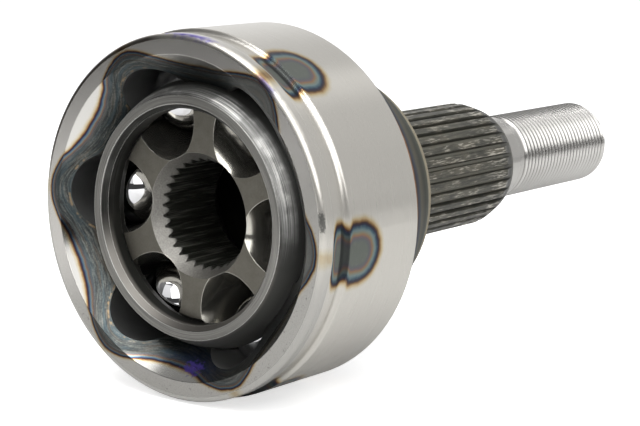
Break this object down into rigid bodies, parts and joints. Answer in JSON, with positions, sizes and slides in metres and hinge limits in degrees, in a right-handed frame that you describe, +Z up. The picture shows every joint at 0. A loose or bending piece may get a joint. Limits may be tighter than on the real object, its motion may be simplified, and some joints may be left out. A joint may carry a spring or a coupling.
{
  "type": "drive shaft joint",
  "caption": "Wheel-side constant-velocity joint of a front drive shaft: tracked bell with splined, threaded stub, cage, balls and splined inner race.",
  "frame": {"origin": "centre of the joint, where the axle and the stub cross", "axes": "+Y along the stub towards its threaded end, -Y out of the mouth, +Z up"},
  "size_m": [0.075, 0.1534, 0.075],
  "materials": {
    "bell_steel": "ground, with heat tint and a dark phosphated spline",
    "race_steel": "turned, warm grey",
    "cage_steel": "satin, turned rims",
    "ball_steel": "polished"
  },
  "bodies": {
    "outer_race": {"outer_race": "bell_steel"},
    "inner_race": {"inner_race": "race_steel"},
    "cage": {"cage": "cage_steel"},
    "ball_1": {"ball_1": "ball_steel"},
    "ball_2": {"ball_2": "ball_steel"},
    "ball_3": {"ball_3": "ball_steel"},
    "ball_4": {"ball_4": "ball_steel"},
    "ball_5": {"ball_5": "ball_steel"},
    "ball_6": {"ball_6": "ball_steel"}
  },
  "joints": [
    {"name": "articulation", "type": "hinge", "parent": "outer_race", "child": "inner_race", "pos_m": [0, 0, 0], "axis": [0.1045, 0, 0.9945], "range_deg": [-45, 45]},
    {"name": "cage_swing", "type": "hinge", "parent": "outer_race", "child": "cage", "pos_m": [0, 0, 0], "axis": [0.1045, 0, 0.9945], "range_deg": [-23, 23]},
    {"name": "ball_1_travel", "type": "hinge", "parent": "outer_race", "child": "ball_1", "pos_m": [0, -0.002, 0], "axis": [0.1045, 0, 0.9945], "range_deg": [-23, 23]},
    {"name": "ball_2_travel", "type": "hinge", "parent": "outer_race", "child": "ball_2", "pos_m": [0, -0.002, 0], "axis": [-0.809, 0, 0.5878], "range_deg": [-12, 12]},
    {"name": "ball_3_travel", "type": "hinge", "parent": "outer_race", "child": "ball_3", "pos_m": [0, -0.002, 0], "axis": [-0.9135, 0, -0.4067], "range_deg": [-12, 12]},
    {"name": "ball_4_travel", "type": "hinge", "parent": "outer_race", "child": "ball_4", "pos_m": [0, -0.002, 0], "axis": [-0.1045, 0, -0.9945], "range_deg": [-23, 23]},
    {"name": "ball_5_travel", "type": "hinge", "parent": "outer_race", "child": "ball_5", "pos_m": [0, -0.002, 0], "axis": [0.809, 0, -0.5878], "range_deg": [-12, 12]},
    {"name": "ball_6_travel", "type": "hinge", "parent": "outer_race", "child": "ball_6", "pos_m": [0, -0.002, 0], "axis": [0.9135, 0, 0.4067], "range_deg": [-12, 12]}
  ],
  "couplings": [
    {"joint": "cage_swing", "follows": "articulation", "ratio": 0.5},
    {"joint": "ball_1_travel", "follows": "articulation", "ratio": 0.5},
    {"joint": "ball_2_travel", "follows": "articulation", "ratio": 0.2587},
    {"joint": "ball_3_travel", "follows": "articulation", "ratio": -0.2587},
    {"joint": "ball_4_travel", "follows": "articulation", "ratio": -0.5},
    {"joint": "ball_5_travel", "follows": "articulation", "ratio": -0.2587},
    {"joint": "ball_6_travel", "follows": "articulation", "ratio": 0.2587}
  ]
}
